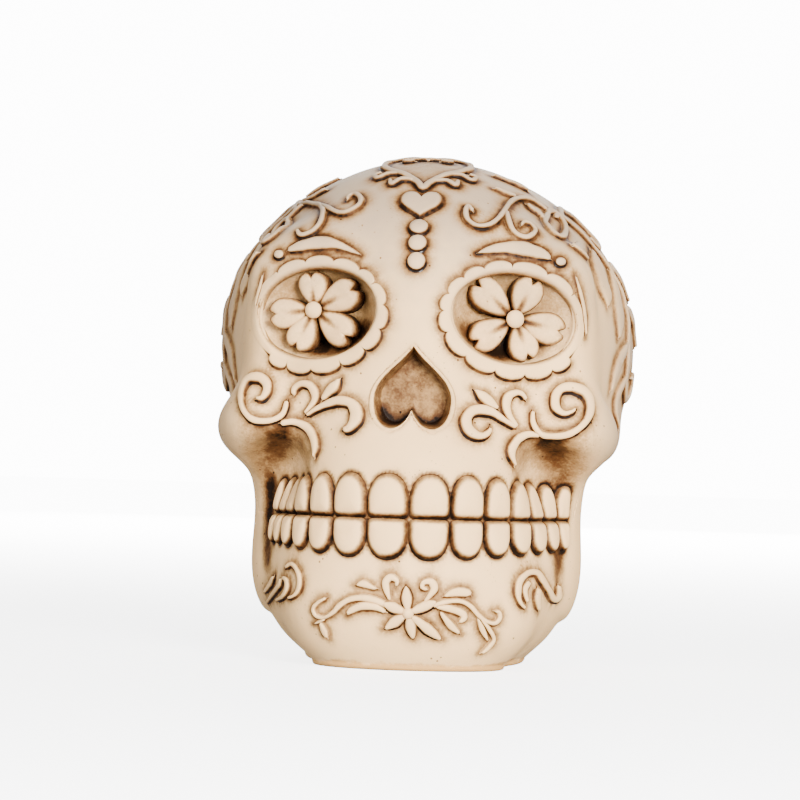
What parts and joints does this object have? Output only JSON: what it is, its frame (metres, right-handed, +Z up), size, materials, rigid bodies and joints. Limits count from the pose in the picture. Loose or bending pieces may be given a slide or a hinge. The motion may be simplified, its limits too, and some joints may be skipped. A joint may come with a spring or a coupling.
{
  "type": "sugar skull ornament",
  "caption": "Ivory resin sugar skull ornament: hollow braincase, closed jaw, set teeth, blossoms in the eye sockets, heart-shaped nose, raised scrolls and hearts, flat foot.",
  "frame": {"origin": "on the table plane, under the middle of the overall box", "axes": "+Z up, the face looks along -Y, +X is the viewer's right as the face is looked at"},
  "size_m": [0.0972, 0.1245, 0.1128],
  "materials": {
    "bone": "cast polyresin, warm ivory with a brown antique wash in the hollows, satin",
    "relief": "cast polyresin relief, ivory crests with brown wash along the feet, satin",
    "tooth": "cast polyresin, ivory with dark wash between the teeth, satin",
    "raw_resin": "bare tan resin, matt"
  },
  "bodies": {
    "root": {"skull_shell": "bone", "jaw": "bone", "base_plate": "raw_resin", "upper_tooth_right_1": "tooth", "upper_tooth_right_2": "tooth", "upper_tooth_right_3": "tooth", "upper_tooth_right_4": "tooth", "upper_tooth_right_5": "tooth", "upper_tooth_right_6": "tooth", "upper_tooth_right_7": "tooth", "upper_tooth_left_1": "tooth", "upper_tooth_left_2": "tooth", "upper_tooth_left_3": "tooth", "upper_tooth_left_4": "tooth", "upper_tooth_left_5": "tooth", "upper_tooth_left_6": "tooth", "upper_tooth_left_7": "tooth", "lower_tooth_right_1": "tooth", "lower_tooth_right_2": "tooth", "lower_tooth_right_3": "tooth", "lower_tooth_right_4": "tooth", "lower_tooth_right_5": "tooth", "lower_tooth_right_6": "tooth", "lower_tooth_right_7": "tooth", "lower_tooth_left_1": "tooth", "lower_tooth_left_2": "tooth", "lower_tooth_left_3": "tooth", "lower_tooth_left_4": "tooth", "lower_tooth_left_5": "tooth", "lower_tooth_left_6": "tooth", "lower_tooth_left_7": "tooth", "eye_frame_right": "relief", "eye_frame_left": "relief", "eye_blossom_right": "relief", "eye_blossom_left": "relief", "eye_bead_right": "relief", "eye_bead_left": "relief", "forehead_heart": "relief", "forehead_bead_1": "relief", "forehead_bead_2": "relief", "forehead_bead_3": "relief", "crown_heart": "relief", "forehead_scroll_right": "relief", "forehead_scroll_left": "relief", "brow_leaf_right": "relief", "brow_leaf_left": "relief", "brow_bead_right": "relief", "brow_bead_left": "relief", "cheek_scroll_right": "relief", "cheek_scroll_left": "relief", "chin_scroll_right": "relief", "chin_scroll_left": "relief", "jaw_loop_right": "relief", "jaw_loop_left": "relief", "temple_spray_right": "relief", "temple_spray_left": "relief", "chin_blossom": "relief", "chin_bead": "relief", "back_spray": "relief", "back_bead": "relief"}
  },
  "joints": []
}
